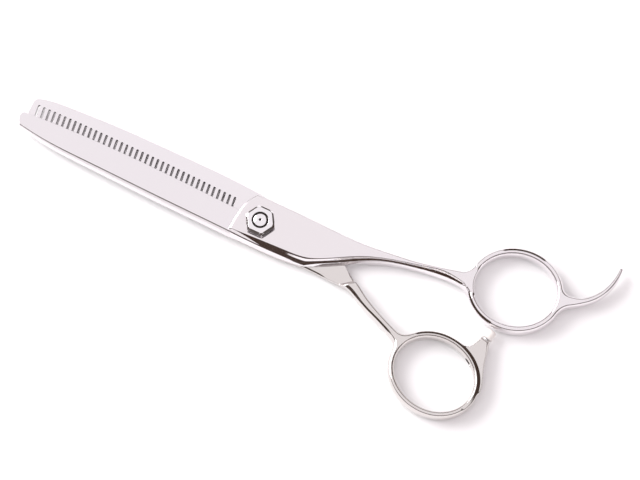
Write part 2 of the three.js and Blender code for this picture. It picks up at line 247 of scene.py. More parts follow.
def turned(name, profile, rounds=96, sharp=30):
    """A body of revolution about Z from (radius, height) points, whose ends are on the axis."""
    points = []
    faces = []
    for k in range(rounds):
        angle = 2 * math.pi * k / rounds
        points += [(r * math.cos(angle), r * math.sin(angle), z) for r, z in profile]
    size = len(profile)
    for k in range(rounds):
        here, there = k * size, ((k + 1) % rounds) * size
        for i in range(size):
            j = (i + 1) % size
            if profile[i][0] > 0 or profile[j][0] > 0:
                faces.append((here + i, there + i, there + j, here + j))
    obj = piece(name, points, faces, sharp)
    weld(obj)
    return obj


def paint(obj, chosen):
    """Gives a piece's second finish to the faces that are chosen by their centre and normal."""
    for face in obj.data.polygons:
        if chosen(face.center / MM, face.normal):
            face.material_index = 1


def weld(obj):
    """Joins vertices that lie on each other, such as those of a profile's end on the axis."""
    touching = 1e-7
    body = bmesh.new()
    body.from_mesh(obj.data)
    bmesh.ops.remove_doubles(body, verts=body.verts, dist=touching)
    bmesh.ops.recalc_face_normals(body, faces=body.faces)
    body.to_mesh(obj.data)
    body.free()


# ---------------------------------------------------------------------------------------------
# Sizes shared by the pieces
# ---------------------------------------------------------------------------------------------

# Heights: the underside of the plain blade, the comb blade's top, the comb half's back, the top of the
# ricasso, and the top and middle of the rings.
PLAIN_BASE = 2.9
COMB_TOP = 2.7
BACK = 0.25
RICASSO_TOP = 5.6
HANDLE = 5.0
MIDDLE = HANDLE / 2

# The rings are rounded this far up and down, and this far in.
RING_ROUND = 1.7
RING_SIDE = 1.0

# The blades: thickness at the spine and at the cutting edge, how far their flat sides lie inside those of
# the handles, the plain blade's face and bevel, and the narrow facet along the ridge between them.
LAND = 0.3
EDGE = 0.14
INSIDE = 0.02
FACE_SLOPE = grade(16)
BEVEL_SLOPE = grade(55.5)
RIDGE_FACET = 0.22
RIDGE_SLOPE = grade(42)

# The comb blade: the width of its spine bevel, its thickness at the teeth's tips, and how far its ridge
# lies under its flat side at the tip and at the root.
COMB_BEVEL = 1.3
TOOTH_EDGE = 0.35
COMB_DEPTH = (1.1, 1.8)

# The facet along the heel of the plain half.
HEEL_FACET = 0.85
HEEL_SLOPE = grade(17)

# Facets along the outer side of the rings' crests: first and last angle in degrees, slope and reach.
FINGER_CREST = (72, 128, grade(29), 1.15)
FINGER_CREST_LOW = (-166, -104, grade(42), 0.95)
THUMB_CREST = (-25, 135, grade(29), 1.15)
CREST_FADE = 16

# The hollow of the shank's flank, as parts of its width: how far across, and how far it has dropped.
HOLLOW_ACROSS = (0, 0.18, 0.34, 0.72, 1, 2)
HOLLOW_DROP = (0, 0.162, 0.43, 0.78, 1.32, 4)
HOLLOW_AT_RING = 0.32

# The slope of the ricasso's flank under its shoulder, the width of the shoulder at both its ends, and the
# rounding of the ricasso's top edges.
FLANK_SLOPE = 1.25
SHOULDER = (0.1, 1.5)
RICASSO_ROUND = 0.3

# Stations along X: where the ricasso turns into the round shank, where the raised underside over the comb
# half's pad ends and how that end leans, and where the thumb shank ends and its chamfers fade.
RICASSO_TO_RING = (26, 44)
PAD_END = (28.5, 31.5)
PAD_END_LEAN = 0.35
THUMB_SHANK_END = 50
CHAMFER_END = (43, 49)

# Rings: centre and turn, hole, and width of the wall.
FINGER_RING = (69.4, 12.4, math.radians(12))
FINGER_HOLE = (11.0, 9.6)
FINGER_WALL = 2.05
THUMB_RING = (59.4, -17.7, math.radians(-12))
THUMB_HOLE = (11.1, 9.4)
THUMB_WALL = 1.85

# Plain half, as y by x: cutting edge, spine, upper outline, lower outline of the shank, and the lower
# edge of the flat top.
PLAIN_EDGE = Curve((-71.9, 1.1), (-66, 1.5), (-45, 2.1), (-28, 1.9), (-6, 1.2), (2, 1.0))
PLAIN_SPINE = Curve(
    (-71.9, -3.0), (-64.6, -4.5), (-50, -5.6), (-30, -6.3), (-10, -6.7), (7, -6.8), (20, -5.8)
)
PLAIN_UPPER = Curve(
    (-9, 6.5), (10, 6.5), (20, 6.2), (28, 6.3), (36, 7.4), (44, 8.8), (52, 10.6), (62, 13.2)
)
PLAIN_LOWER = Curve(
    (14, -7.2), (17.4, -4.9), (23.4, -1.6), (31.3, 2.95), (39.3, 5.6), (47.3, 7.0), (54, 7.4),
    (60, 6.5), (66, 4.6)
)
PLAIN_FLAT = Curve(
    (-9, -4.9), (0, -4.4), (10, -4.0), (15.7, -3.3), (19.7, -1.6), (27.7, 2.8), (35.7, 5.8), (44, 7.9),
    (52, 10)
)
# Heel of the plain half, as x by y.
HEEL = Curve((-7, -7.05), (-4.7, -7), (-1.4, -6.8), (3.1, -5.9), (4.9, -5.1), (6.2, -4.2), (7.5, -2.9))

# Comb half, as y by x: spine, line of the gullets, upper and lower outline of the pad and shank.
COMB_SPINE = Curve(
    (-70.4, 6.1), (-66.6, 7.0), (-60, 7.6), (-50, 8.1), (-30, 8.3), (-10, 8.0), (-4, 7.6), (2, 6.9)
)
GULLETS = Curve((-71, 4.7), (-60, 4.9), (-40, 4.9), (-28, 4.7), (-12, 4.2), (-6, 4.0))
COMB_UPPER = Curve(
    (-9, 7.7), (2, 6.9), (10, 6.1), (17, 4.6), (22, 2.3), (25.3, -0.4), (29.1, -3.2), (35.5, -6.8),
    (43, -10.2), (52, -13.4)
)
COMB_LOWER = Curve(
    (-9, -5), (-5, -6), (0, -6.3), (8, -6.3), (16, -5.7), (24, -6), (29.2, -6.5), (33.3, -8.6),
    (39.3, -11.1), (44, -13.1), (52, -16.4)
)

# The comb's teeth and gaps, and the ends of both blades.
TEETH = 40
TOOTH_PITCH = 1.555
GAP = 0.64
FIRST_GAP = -68.5
LEAN = math.radians(7)
TOOTH_TIP = 0.3
COMB_END = -70.4
PLAIN_END = -71.9
BLADE_ROOT = -6.2
COMB_ROOT = -2.2

# The finger rest runs along an arc about its centre: its path, half width and half height by angle in
# degrees, and the angles of its root and end.
REST_CENTRE = (82.0, 29.0)
REST_PATH = Curve(
    (-105, 16.2), (-88, 13.9), (-70, 12.75), (-55, 12.05), (-40, 11.45), (-20, 10.85), (0, 10.65),
    (12, 10.7)
)
REST_HALF = Curve(
    (-105, 2.6), (-88, 1.95), (-70, 1.15), (-55, 1.0), (-40, 0.94), (-20, 0.8), (0, 0.58), (12, 0.42)
)
REST_RISE = Curve((-105, 2.5), (-88, 2.3), (-70, 2.05), (-40, 1.8), (-20, 1.5), (0, 1.0), (12, 0.6))
REST_ROOT = -100
REST_END = 7.5

# Holes about the pivot: the plain half's dial pocket and bore, and the comb half's recesses for the
# bolt's head and the glide washer, with its bore and the flat that keys the bolt.
POCKET_RADIUS = 3.6
POCKET_FLOOR = 4.2
PLAIN_BORE = 3.0
HEAD_RECESS = 4.5
HEAD_RECESS_ROOF = 0.95
GLIDE_RECESS = 5.1
GLIDE_RECESS_DEPTH = 0.35
COMB_BORE = 2.05
KEY_FLAT = 1.6

# The step where the comb half rises to its full height: a point on it, and its direction.
STEP_AT = (25.3, -6.4)
STEP_RUN = (0.625, -0.781)

# The bumper: its foot on the horn, the turn of its axis away from +Y, and its radius, length, gap from
# the foot, and rounding at the nose and heel. The horn has its half height, its root and the stud's bore.
FOOT = (67.75, -3.0)
BUMPER_TURN = math.radians(-12)
BUMPER = 1.6
BUMPER_LENGTH = 3.1
BUMPER_GAP = 0.35
BUMPER_NOSE = 0.9
BUMPER_HEEL = 0.3
HORN_HALF = 1.75
HORN_ROOT = -12
STUD_BORE = 0.85

# The tension dial: radius to its corners, width of the facets along its top, the radii where its turned
# corners start at the top and foot, and the recess and bore.
DIAL_TOP = 7.75
DIAL_FOOT = 5.95
DIAL_RADIUS = 4.25
DIAL_FACET = 0.42
DIAL_TURNED = 3.6
DIAL_UNDERCUT = 4.0
DIAL_RECESS = 2.25
DIAL_RECESS_DEPTH = 0.9
DIAL_BORE = 1.55

# The lock screw: radius and underside of its head, radius and centre of its dome, stem, and socket.
SCREW_RADIUS = 1.8
SCREW_FOOT = 7.05
SCREW_DOME = 4.5
SCREW_DOME_CENTRE = 3.6
SCREW_STEM = 0.72
SCREW_STEM_ENDS = (5, 7.3)
SOCKET = 0.34
SOCKET_FLOOR = 7.55

# The pivot bolt: head, keyed shank, thread, the spanner holes in its head, and the screw's bore.
BOLT_HEAD = 4.4
BOLT_HEAD_TOP = 0.9
BOLT_SHANK = 2
BOLT_FLAT = 1.55
BOLT_SHANK_ENDS = (0.5, 5.74)
THREAD = 1.46
THREAD_HEIGHT = 0.04
THREAD_PITCH = 0.35
THREAD_ENDS = (5.5, 6.95)
SPANNER_PLACE = 2.8
SPANNER_HOLE = 0.55
SPANNER_DEPTH = 0.5
BOLT_BORE = 0.8
BOLT_BORE_FLOOR = 4.6

# The rounding of edges: forged, machined, on small turned parts, and on the two blades.
FORGED = 0.1
MACHINED = 0.08
TURNED = 0.06
PLAIN_HONED = 0.05
COMB_HONED = 0.02


# ---------------------------------------------------------------------------------------------
# Plain half
# ---------------------------------------------------------------------------------------------


def shank_plan(x, y, ring):
    """The plan of the ricasso and shank, which end a little inside the finger ring's outline."""
    end = 61
    in_ring = 1
    lower = both(-PLAIN_LOWER.above(x, y), -PLAIN_SPINE.above(x, y), 0.15)
    shank = both(PLAIN_UPPER.above(x, y), lower, 0.2)
    shank = both(both(shank, x - end, 1), -in_ring - ring, 0.5)
    return both(shank, HEEL(y) - x, FORGED)


def finger_rest(x, y):
    """The finger rest's plan, half width and half height at a point."""
    seam = 120
    turn = np.degrees(np.arctan2(y - REST_CENTRE[1], x - REST_CENTRE[0]))
    turn = np.where(turn > seam, turn - 360, turn)
    reach = np.hypot(x - REST_CENTRE[0], y - REST_CENTRE[1])
    at = np.clip(turn, REST_ROOT - 5, REST_END + 3)
    half = REST_HALF(at)
    plan = np.abs(reach - REST_PATH(at)) - half
    plan = both(plan, np.radians(turn - REST_END) * reach, 0.5)
    plan = both(plan, np.radians(REST_ROOT - turn) * reach, 1)
    return plan, half, REST_RISE(at)


def flank_drop(across, width, x):
    """How far the plain half's flank has dropped, at a distance across it from the flat top. On the
    ricasso the blade's ridge runs on until the shoulder, which widens from the heel, meets it. On the shank
    the flank has a hollow between two shoulders, which narrows to the lower edge at the ring."""
    ridge = width - ridge_inset(x) - RIDGE_FACET
    shoulder = np.minimum(mix(*SHOULDER, ease(x, -7, 6)), ridge)
    ricasso = RIDGE_SLOPE * np.minimum(across, shoulder)
    ricasso = ricasso + FLANK_SLOPE * np.clip(across - shoulder, 0, ridge - shoulder)
    ricasso = ricasso + RIDGE_SLOPE * np.clip(across - ridge, 0, RIDGE_FACET)
    ricasso = ricasso + BEVEL_SLOPE * np.maximum(across - ridge - RIDGE_FACET, 0)
    narrow = mix(1, HOLLOW_AT_RING, ease(x, 47, 57))
    place = 1 - (1 - across / width) / narrow
    shank = width * narrow * np.interp(place, HOLLOW_ACROSS, HOLLOW_DROP)
    return mix(ricasso, shank, ease(x, 7, 16))


def crest_facet(z, ring, x, y, place, facet):
    """The field of a facet along part of a ring's crest. ring is the field of the ring's outline."""
    first, last, rise, reach = facet
    angle = np.degrees(np.arctan2(y - place[1], x - place[0]))
    fade = ease(angle, first - CREST_FADE, first) * (1 - ease(angle, last, last + CREST_FADE))
    return (z - HANDLE + mix(-1, rise * (np.minimum(ring, 0) + reach), fade)) / math.hypot(1, rise)


def plain_handle(x, y, z):
    """The field of the plain half without its blade."""
    outer = ellipse(x, y, FINGER_RING, FINGER_HOLE[0] + FINGER_WALL, FINGER_HOLE[1] + FINGER_WALL)
    hole = -ellipse(x, y, FINGER_RING, *FINGER_HOLE)

    to_ring = ease(x, *RICASSO_TO_RING)
    beyond_pad = ease(x + PAD_END_LEAN * (y - 3), *PAD_END)
    top = mix(RICASSO_TOP, HANDLE, to_ring)
    bottom = PLAIN_BASE * (1 - beyond_pad)
    low = mix(0.12, RING_ROUND, ease(x, 29, 44))
    side = mix(RICASSO_ROUND, RING_SIDE, to_ring)
    high = mix(RICASSO_ROUND, RING_ROUND, to_ring)
    shank = slab(shank_plan(x, y, outer), z, bottom, top, side, low, high, mix(2.3, 2, to_ring))
    flat = PLAIN_FLAT(x)
    width = flat - np.maximum(PLAIN_SPINE(x), PLAIN_LOWER(x))
    shank = both(shank, (z - top + flank_drop(flat - y, width, x)) * 0.7, MACHINED)
    shank = both(shank, chamfer(HEEL_FACET + HEEL(y) - x, z - RICASSO_TOP, HEEL_SLOPE), 0.2)

    rest, half, rise = finger_rest(x, y)
    in_rest = ease(x, 80, 85)
    height = mix(MIDDLE, rise, in_rest)
    edge = np.minimum(height, RING_ROUND)
    side = mix(RING_SIDE, np.minimum(half, RING_SIDE), in_rest)
    plan = both(either(outer, rest, 2.4), hole, FORGED)
    ring = slab(plan, z, MIDDLE - height, MIDDLE + height, side, edge, edge, 2)
    ring = both(ring, crest_facet(z, outer, x, y, FINGER_RING, FINGER_CREST), MACHINED)
    ring = both(ring, crest_facet(z, outer, x, y, FINGER_RING, FINGER_CREST_LOW), MACHINED)

    fillet = np.where(x < 66, 2, FORGED)
    body = either(shank, ring, fillet)
    body = both(both(body, np.maximum(z - top, -z), FORGED), hole, FORGED)
    reach = np.hypot(x, y)
    pocket = np.maximum(reach - POCKET_RADIUS, POCKET_FLOOR - z)
    return both(body, -np.minimum(pocket, reach - PLAIN_BORE), MACHINED)


def plain_blade():
    """The plain blade, from its tip to inside the ricasso. A narrow facet runs along its ridge."""
    tip = [(-71.3, 1.15), (-71.75, 0.75), (PLAIN_END, 0.1), (-71.8, -0.8), (-71.45, -1.7)]
    tip += [(-70.9, -2.6), (-70.1, -3.4)]
    edge_x = np.linspace(-70.6, BLADE_ROOT, 90)
    spine_x = np.linspace(-69.2, BLADE_ROOT, 90)
    ridge_x = np.linspace(-71, BLADE_ROOT, 90)
    edge = list(zip(edge_x, PLAIN_EDGE(edge_x)))
    spine = list(zip(spine_x, PLAIN_SPINE(spine_x)))
    ridge_y = PLAIN_SPINE(ridge_x) + ridge_inset(ridge_x)
    ridges = [list(zip(ridge_x, ridge_y + off)) for off in (0, RIDGE_FACET)]

    def top(px, py):
        inset = ridge_inset(px)
        from_spine = py - PLAIN_SPINE(px)
        low = LAND + inset * BEVEL_SLOPE
        high = low + RIDGE_FACET * RIDGE_SLOPE
        far = PLAIN_EDGE(px) - PLAIN_SPINE(px)
        back = mix(LAND, low, from_spine / inset)
        facet = mix(low, high, (from_spine - inset) / RIDGE_FACET)
        face = mix(high, EDGE, (from_spine - inset - RIDGE_FACET) / (far - inset - RIDGE_FACET))
        return PLAIN_BASE + np.maximum(np.minimum(np.minimum(back, facet), face), EDGE)

    def bottom(px, py):
        return 0 * px + PLAIN_BASE + INSIDE

    def on_bevel(centre, normal):
        return normal.y < -0.5

    obj = plate("straight_blade", edge[::-1] + tip + spine, ridges, top, bottom, PLAIN_HONED)
    paint(obj, on_bevel)
    return obj


def ridge_inset(x):
    """How far the ridge of the plain blade lies in from its spine. The face and the bevel keep their
    slopes, so the ridge comes nearer the spine where the blade is narrow."""
    across = PLAIN_EDGE(x) - PLAIN_SPINE(x) - RIDGE_FACET
    rise = EDGE - LAND - RIDGE_FACET * RIDGE_SLOPE
    return (rise + across * FACE_SLOPE) / (BEVEL_SLOPE + FACE_SLOPE)


# ---------------------------------------------------------------------------------------------
# Comb half
# ---------------------------------------------------------------------------------------------


def in_horn(x, y):
    """A point across and along the bumper's axis, from its foot on the horn."""
    dx, dy = x - FOOT[0], y - FOOT[1]
    across = dx * math.cos(BUMPER_TURN) + dy * math.sin(BUMPER_TURN)
    along = dy * math.cos(BUMPER_TURN) - dx * math.sin(BUMPER_TURN)
    return across, along


def comb_plan(x, y):
    """The plan of the pad, shank, thumb ring and horn. The horn's sides draw in towards its foot."""
    shank = both(COMB_UPPER.above(x, y), -COMB_LOWER.above(x, y), 0.2)
    shank = both(shank, x - THUMB_SHANK_END, 1)
    shank = both(shank, np.where(y > TOOTH_TIP, HEEL(y) + 0.4, -9) - x, FORGED)
    ring = ellipse(x, y, THUMB_RING, THUMB_HOLE[0] + THUMB_WALL, THUMB_HOLE[1] + THUMB_WALL)
    across, along = in_horn(x, y)
    left = -across - 1.35 + 0.12 * along
    right = (across - 1.5 + 0.42 * along) * 0.92
    horn = both(both(left, right, 0.3), along, 0.25)
    horn = both(horn, HORN_ROOT - along, 1)
    body = either(either(shank, ring, 3), horn, 2.6)
    return both(body, -ellipse(x, y, THUMB_RING, *THUMB_HOLE), FORGED)


def comb_handle(x, y, z):
    """The field of the comb half without its blade."""
    plan = comb_plan(x, y)
    across, along = in_horn(x, y)
    beyond_step = (x - STEP_AT[0]) * STEP_RUN[0] + (y - STEP_AT[1]) * STEP_RUN[1]
    rise = ease(beyond_step, 0, 1.3)
    in_horn_end = ease(along, -5, 0) * ease(x, 60, 64)
    height = mix(MIDDLE, HORN_HALF, in_horn_end)
    rounding = ease(beyond_step, 0.2, 8)
    side = mix(0.5, 0.93, rounding)
    on_shank = x < THUMB_SHANK_END
    top = np.where(on_shank, mix(COMB_TOP, HANDLE, rise), MIDDLE + height)
    bottom = np.where(on_shank, mix(BACK, 0, ease(beyond_step, -3, 3)), MIDDLE - height)
    high = np.where(on_shank, mix(0.14, RING_ROUND, rounding), np.minimum(height, RING_ROUND))
    low = np.where(on_shank, mix(0.5, RING_ROUND, rounding), np.minimum(height, RING_ROUND))
    body = slab(plan, z, bottom, top, side, low, high, mix(2.3, 2, rounding))

    fade = 1 - ease(x, *CHAMFER_END)
    lower = (mix(0.5, 0.15, ease(x, 20, 23)) + 0.75 * ease(x, 26.5, 29)) - COMB_LOWER.above(x, y)
    body = both(body, chamfer(lower * fade - 1 + fade, z - top, 0.9), FORGED)
    upper = 0.4 * ease(x, 26, 28) + COMB_UPPER.above(x, y)
    body = both(body, chamfer(upper * fade - 1 + fade, z - top, 0.55), FORGED)
    ring = ellipse(x, y, THUMB_RING, THUMB_HOLE[0] + THUMB_WALL, THUMB_HOLE[1] + THUMB_WALL)
    body = both(body, crest_facet(z, ring, x, y, THUMB_RING, THUMB_CREST), MACHINED)

    mouth = 0.5 * np.clip(-6.9 - along, 0, 1)
    stud = np.maximum(np.hypot(across, z - MIDDLE) - STUD_BORE - mouth, HORN_ROOT - along)
    reach = np.hypot(x, y)
    head = np.maximum(reach - HEAD_RECESS, z - HEAD_RECESS_ROOF)
    recess = np.maximum(reach - GLIDE_RECESS, COMB_TOP - GLIDE_RECESS_DEPTH - z)
    bore = np.maximum(reach - COMB_BORE, y - KEY_FLAT)
    return both(body, -np.minimum(np.minimum(stud, head), np.minimum(recess, bore)), MACHINED)


def shaded_stud_bore(centre, normal):
    """A face of the stud's bore, where it opens into the thumb ring's hole. These faces get the near-black
    finish, which is painted shade in the bore.
    """
    across, along = in_horn(centre.x, centre.y)
    widest = 1.25
    deep, shallow = -9.5, -4.8
    return math.hypot(across, centre.z - MIDDLE) < widest and deep < along < shallow


def comb_blade():
    """The comb blade, with its gaps cut between forty leaning teeth."""
    half = GAP / 2
    down = np.array([math.sin(LEAN), -math.cos(LEAN)])
    right = np.array([math.cos(LEAN), math.sin(LEAN)])
    teeth = []
    for i in range(TEETH - 1):
        root_x = FIRST_GAP + i * TOOTH_PITCH
        centre = np.array([root_x, float(GULLETS(root_x))]) + down * half
        reach = (centre[1] - TOOTH_TIP) / math.cos(LEAN)
        teeth.append(centre + down * reach - right * half)
        for angle in np.linspace(math.pi, 0, 13):
            teeth.append(centre + right * half * math.cos(angle) - down * half * math.sin(angle))
        teeth.append(centre + down * reach + right * half)
    end = [(-70.2, TOOTH_TIP), (COMB_END, 0.6), (COMB_END, 4.9), (-70.3, 5.5), (-69.95, 6.0)]
    end.append((-69.3, 6.35))
    spine_x = np.linspace(COMB_ROOT, -68, 80)
    spine = list(zip(spine_x, COMB_SPINE(spine_x)))
    root = [(-5.8, TOOTH_TIP), (-5.6, 2.4), (-4.4, 4.2), (COMB_ROOT, 5.4)]
    outline = [tuple(map(float, p)) for p in [*teeth, *root, *spine, *end[::-1]]]
    ridge_x = np.linspace(-69.4, COMB_ROOT, 80)
    ridge = [(float(x), float(COMB_SPINE(x)) - COMB_BEVEL) for x in ridge_x]

    def bottom(px, py):
        spine_y = COMB_SPINE(px)
        ridge_y = spine_y - COMB_BEVEL
        along = (px - COMB_END) / (COMB_ROOT - COMB_END)
        ridge_z = COMB_TOP - mix(*COMB_DEPTH, along)
        face = mix(COMB_TOP - TOOTH_EDGE, ridge_z, (py - TOOTH_TIP) / (ridge_y - TOOTH_TIP))
        back = mix(COMB_TOP - LAND, ridge_z, (spine_y - py) / COMB_BEVEL)
        return np.minimum(np.where(py < ridge_y, face, back), COMB_TOP - LAND)

    def top(px, py):
        return 0 * px + COMB_TOP - INSIDE

    # The walls of the gaps between the teeth get the near-black finish, which is painted shade in the gaps.
    def shaded_gap_wall(centre, normal):
        return abs(normal.z) < 0.3 and centre.y < GULLETS(centre.x) + 0.5

    obj = plate("comb_blade", outline, [ridge], top, bottom, COMB_HONED)
    paint(obj, shaded_gap_wall)
    return obj


# ---------------------------------------------------------------------------------------------
# Pivot hardware and bumper
# ---------------------------------------------------------------------------------------------


def dial(x, y, z):
    """The hexagonal tension dial: side facets, turned corners, a round recess and a bore."""
    flat = DIAL_RADIUS * math.cos(math.pi / 6)
    body = outside(z, (DIAL_FOOT, DIAL_TOP))
    for k in range(6):
        angle = math.radians(30 + 60 * k)
        out = x * math.cos(angle) + y * math.sin(angle) - flat
        body = both(body, np.maximum(out, cone(out + DIAL_FACET, z - DIAL_TOP, 30)), TURNED)
    reach = np.hypot(x, y)
    corner = cone(reach - DIAL_TURNED, z - DIAL_TOP, 42)
    foot = cone(reach - DIAL_UNDERCUT, DIAL_FOOT - z, 45)
    body = both(body, np.maximum(corner, foot), TURNED)
    recess = np.maximum(reach - DIAL_RECESS, DIAL_TOP - DIAL_RECESS_DEPTH - z)
    return both(body, -np.minimum(recess, reach - DIAL_BORE), MACHINED)


def shaded_on_dial(centre, normal):
    """A face of the dial's recess, or of a side between two corners. These faces get the near-black finish,
    which is painted shade in the recess and on the sides.
    """
    reach = centre.xy.length
    turn = math.degrees(math.atan2(normal.y, normal.x)) % 60
    first, last = 18, 42
    side = abs(normal.z) < 0.95 and reach > 2.8 and first < turn < last
    return side or (reach < DIAL_RECESS + 0.05 and centre.z < DIAL_TOP - 0.04)


def screw_head(x, y, z):
    """The domed lock screw, with a small hexagonal socket in its head."""
    reach = np.hypot(x, y)
    dome = np.sqrt(reach**2 + (z - SCREW_DOME_CENTRE) ** 2) - SCREW_DOME
    head = both(both(reach - SCREW_RADIUS, dome, 0.15), SCREW_FOOT - z, MACHINED)
    stem = np.maximum(reach - SCREW_STEM, outside(z, SCREW_STEM_ENDS))
    socket = SOCKET_FLOOR - z
    for k in range(3):
        angle = math.radians(60 * k)
        socket = np.maximum(socket, np.abs(x * math.cos(angle) + y * math.sin(angle)) - SOCKET)
    return both(either(head, stem, 0.05), -socket, 0.04)


def shaded_socket(centre, normal):
    """A face of the lock screw's socket, which gets the near-black finish as painted shade."""
    rim = 8.02
    return centre.xy.length < SOCKET + 0.08 and SOCKET_FLOOR - 0.05 < centre.z < rim


def bolt(x, y, z):
    """The pivot bolt: a flat head with two spanner holes, a keyed shank and a thread."""
    reach = np.hypot(x, y)
    head = both(reach - BOLT_HEAD, np.maximum(z - BOLT_HEAD_TOP, -z), 0.12)
    shank = np.maximum(both(reach - BOLT_SHANK, y - BOLT_FLAT, MACHINED), outside(z, BOLT_SHANK_ENDS))
    turns = THREAD_HEIGHT * np.cos(2 * math.pi * z / THREAD_PITCH)
    thread = np.maximum(reach - THREAD - turns, outside(z, THREAD_ENDS))
    body = np.minimum(np.minimum(head, shank), thread)
    holes = np.maximum(np.hypot(np.abs(x) - SPANNER_PLACE, y) - SPANNER_HOLE, z - SPANNER_DEPTH)
    bore = np.maximum(reach - BOLT_BORE, BOLT_BORE_FLOOR - z)
    return both(body, -np.minimum(holes, bore), MACHINED)


def bumper_profile():
    """The bumper's outline, from its foot to its rounded end."""
    side = BUMPER - BUMPER_HEEL
    base = BUMPER_GAP + BUMPER_HEEL
    turns = np.linspace(0, math.pi / 2, 5)
    heel = [(side + BUMPER_HEEL * math.sin(a), base - BUMPER_HEEL * math.cos(a)) for a in turns]
    crown = BUMPER - BUMPER_NOSE
    shoulder = BUMPER_LENGTH - BUMPER_NOSE
    turns = np.linspace(0, math.pi / 2, 9)
    nose = [(crown + BUMPER_NOSE * math.cos(a), shoulder + BUMPER_NOSE * math.sin(a)) for a in turns]
    return [(0, BUMPER_GAP), *heel, *nose, (0, BUMPER_LENGTH)]


# ---------------------------------------------------------------------------------------------
# Materials
# ---------------------------------------------------------------------------------------------


def material(name, colour, metallic, roughness):
    """A material, with its nodes, its links and its Principled shader."""
    made = bpy.data.materials.new(name)
    made.use_nodes = True
    nodes, links = made.node_tree.nodes, made.node_tree.links
    shader = nodes["Principled BSDF"]
    shader.inputs["Base Color"].default_value = (*colour, 1)
    shader.inputs["Metallic"].default_value = metallic
    shader.inputs["Roughness"].default_value = roughness
    return made, nodes, links, shader


def noise(nodes, links, stretch, scale, detail=3):
    """A noise texture in object space, stretched along the axes."""
    place = nodes.new("ShaderNodeTexCoord")
    mapping = nodes.new("ShaderNodeMapping")
    mapping.inputs["Scale"].default_value = stretch
    texture = nodes.new("ShaderNodeTexNoise")
    texture.inputs["Scale"].default_value = scale
    texture.inputs["Detail"].default_value = detail
    links.new(place.outputs["Object"], mapping.inputs["Vector"])
    links.new(mapping.outputs["Vector"], texture.inputs["Vector"])
    return texture.outputs["Fac"]


def span(nodes, links, value, low, high):
    """Maps the middle of a noise onto low to high."""
    node = nodes.new("ShaderNodeMapRange")
    node.inputs["From Min"].default_value = 0.3
    node.inputs["From Max"].default_value = 0.7
    node.inputs["To Min"].default_value = low
    node.inputs["To Max"].default_value = high
    links.new(value, node.inputs["Value"])
    return node.outputs["Result"]


# The scales of the noises: the steel's grain, its slow change of polish, and the polymer's mottle.
GRAIN = 900
POLISH = 90
MOTTLE = 1200


def steel(name, colour, rough, brush, depth, metallic=1):
    """Steel with a brushed grain along the short axis of brush, and a slow change of polish."""
    made, nodes, links, shader = material(name, colour, metallic, sum(rough) / 2)
    grain = noise(nodes, links, brush, GRAIN, 4)
    polish = noise(nodes, links, (1, 1, 1), POLISH, 2)
    join = nodes.new("ShaderNodeMath")
    join.operation = "MULTIPLY_ADD"
    join.inputs[1].default_value = 0.5
    half = nodes.new("ShaderNodeMath")
    half.operation = "MULTIPLY"
    half.inputs[1].default_value = 0.5
    links.new(polish, half.inputs[0])
    links.new(grain, join.inputs[0])
    links.new(half.outputs[0], join.inputs[2])
    links.new(span(nodes, links, join.outputs[0], *rough), shader.inputs["Roughness"])
    bump = nodes.new("ShaderNodeBump")
    bump.inputs["Strength"].default_value = 0.6
    bump.inputs["Distance"].default_value = depth * MM
    links.new(grain, bump.inputs["Height"])
    links.new(bump.outputs["Normal"], shader.inputs["Normal"])
    return made


def polymer(name, colour, rough, soft):
    """A soft white polymer with light scattered inside it and a faint mottle."""
    made, nodes, links, shader = material(name, colour, 0, rough)
    shader.inputs["Subsurface Weight"].default_value = soft
    shader.inputs["Subsurface Radius"].default_value = (1, 0.97, 0.94)
    shader.inputs["Subsurface Scale"].default_value = 0.8 * MM
    mottle = noise(nodes, links, (1, 1, 1), MOTTLE)
    links.new(span(nodes, links, mottle, rough - 0.06, rough + 0.08), shader.inputs["Roughness"])
    bump = nodes.new("ShaderNodeBump")
    bump.inputs["Distance"].default_value = 0.004 * MM
    links.new(mottle, bump.inputs["Height"])
    links.new(bump.outputs["Normal"], shader.inputs["Normal"])
    return made


# ---------------------------------------------------------------------------------------------
# Making
# ---------------------------------------------------------------------------------------------


def finished(obj, node, body, slot, *finishes):
    """Dresses a piece, hides the CAD node that it stands for and attaches it to the body it rides on."""
    for finish in finishes:
        obj.data.materials.append(finish)
    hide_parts(node)
    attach(obj, body)


def make_materials():
    """The finishes by name. A steel has its colour, roughness, grain and depth of grain."""
    along = (0.6, 2, 2)
    return {
        "blade": steel("blade_steel", (0.82, 0.79, 0.81), (0.13, 0.2), (6, 0.4, 1), 0.002),
        "handle": steel("handle_steel", (0.81, 0.775, 0.79), (0.07, 0.16), along, 0.002),
        # The comb half's steel is a darker copy of the handle steel: painted shade, as that half lies
        # lower.
        "comb_handle": steel("comb_handle_shaded_steel", (0.7, 0.667, 0.65), (0.09, 0.19), along, 0.002),
        # Dark, rough steel whose near-black colour is painted shade, for the comb's gaps, the stud's bore,
        # the dial's recess and sides and the screw's socket.
        "painted_shade": steel("painted_shade_steel", (0.05, 0.038, 0.033), (0.5, 0.65), (2, 2, 2), 0.004, 0.2),
        "hardware": steel("hardware_steel", (0.78, 0.77, 0.79), (0.18, 0.3), (1, 1, 8), 0.003),
        "dial": steel("dial_steel", (0.84, 0.82, 0.84), (0.06, 0.14), (1, 1, 6), 0.002),
        "spring": steel("spring_steel", (0.6, 0.6, 0.63), (0.25, 0.4), (1, 1, 4), 0.003),
        "brass": steel("bush_brass", (0.72, 0.56, 0.3), (0.2, 0.35), (1, 1, 6), 0.003),
        "washer": polymer("washer_polymer", (0.86, 0.85, 0.82), 0.45, 0.1),
        "bumper": polymer("bumper_polymer", (0.82, 0.79, 0.77), 0.35, 0.6),
    }


# The CAD nodes that stay, with the finish of each.
STAYING = {
    "bearing_bush": "brass",
    "glide_washer": "washer",
    "thrust_washer": "hardware",
    "disc_spring_lower": "spring",
    "disc_spring_upper": "spring",
    "click_plate": "hardware",
    "bumper_stud": "hardware",
}


